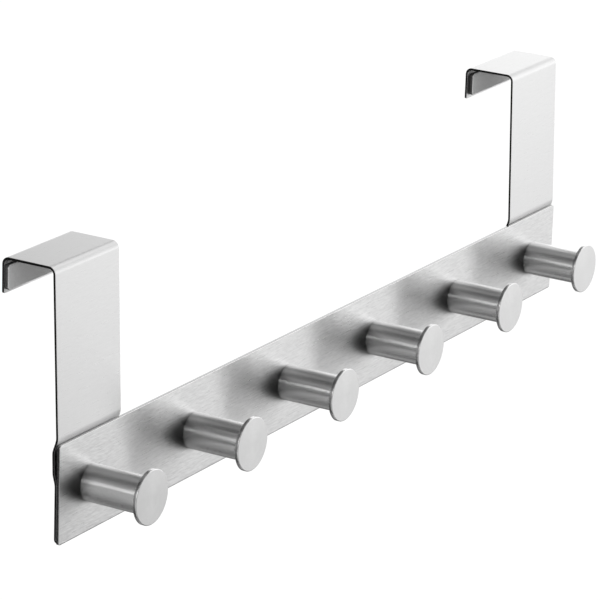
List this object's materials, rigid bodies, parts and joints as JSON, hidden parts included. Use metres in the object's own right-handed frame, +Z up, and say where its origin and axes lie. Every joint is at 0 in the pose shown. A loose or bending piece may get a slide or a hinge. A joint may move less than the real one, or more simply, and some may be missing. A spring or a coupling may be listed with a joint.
{
  "type": "over door hook",
  "caption": "Brushed steel rail with a row of capped round pegs, hung over a door by two folded strips with foam pads.",
  "frame": {"origin": "on the top front edge of the door, midway between the two brackets", "axes": "+X along the rail, +Y from the room through the door, +Z up; the pegs point along -Y"},
  "size_m": [0.4, 0.0551, 0.1095],
  "materials": {
    "rail_steel": "brushed along the rail, satin",
    "strip_steel": "fine brushed across the strip, satin",
    "tube_steel": "satin, brushed along the tube",
    "cap_steel": "turned face, satin",
    "plug_steel": "as turned",
    "screw_steel": "bright",
    "pad_foam": "closed-cell foam, matt"
  },
  "bodies": {
    "root": {"back_rail": "rail_steel", "left_bracket": "strip_steel", "right_bracket": "strip_steel", "left_lip_pad": "pad_foam", "right_lip_pad": "pad_foam", "peg_screws": "screw_steel", "peg_1_tube": "tube_steel", "peg_1_cap": "cap_steel", "peg_1_plug": "plug_steel", "peg_2_tube": "tube_steel", "peg_2_cap": "cap_steel", "peg_2_plug": "plug_steel", "peg_3_tube": "tube_steel", "peg_3_cap": "cap_steel", "peg_3_plug": "plug_steel", "peg_4_tube": "tube_steel", "peg_4_cap": "cap_steel", "peg_4_plug": "plug_steel", "peg_5_tube": "tube_steel", "peg_5_cap": "cap_steel", "peg_5_plug": "plug_steel", "peg_6_tube": "tube_steel", "peg_6_cap": "cap_steel", "peg_6_plug": "plug_steel"}
  },
  "joints": []
}
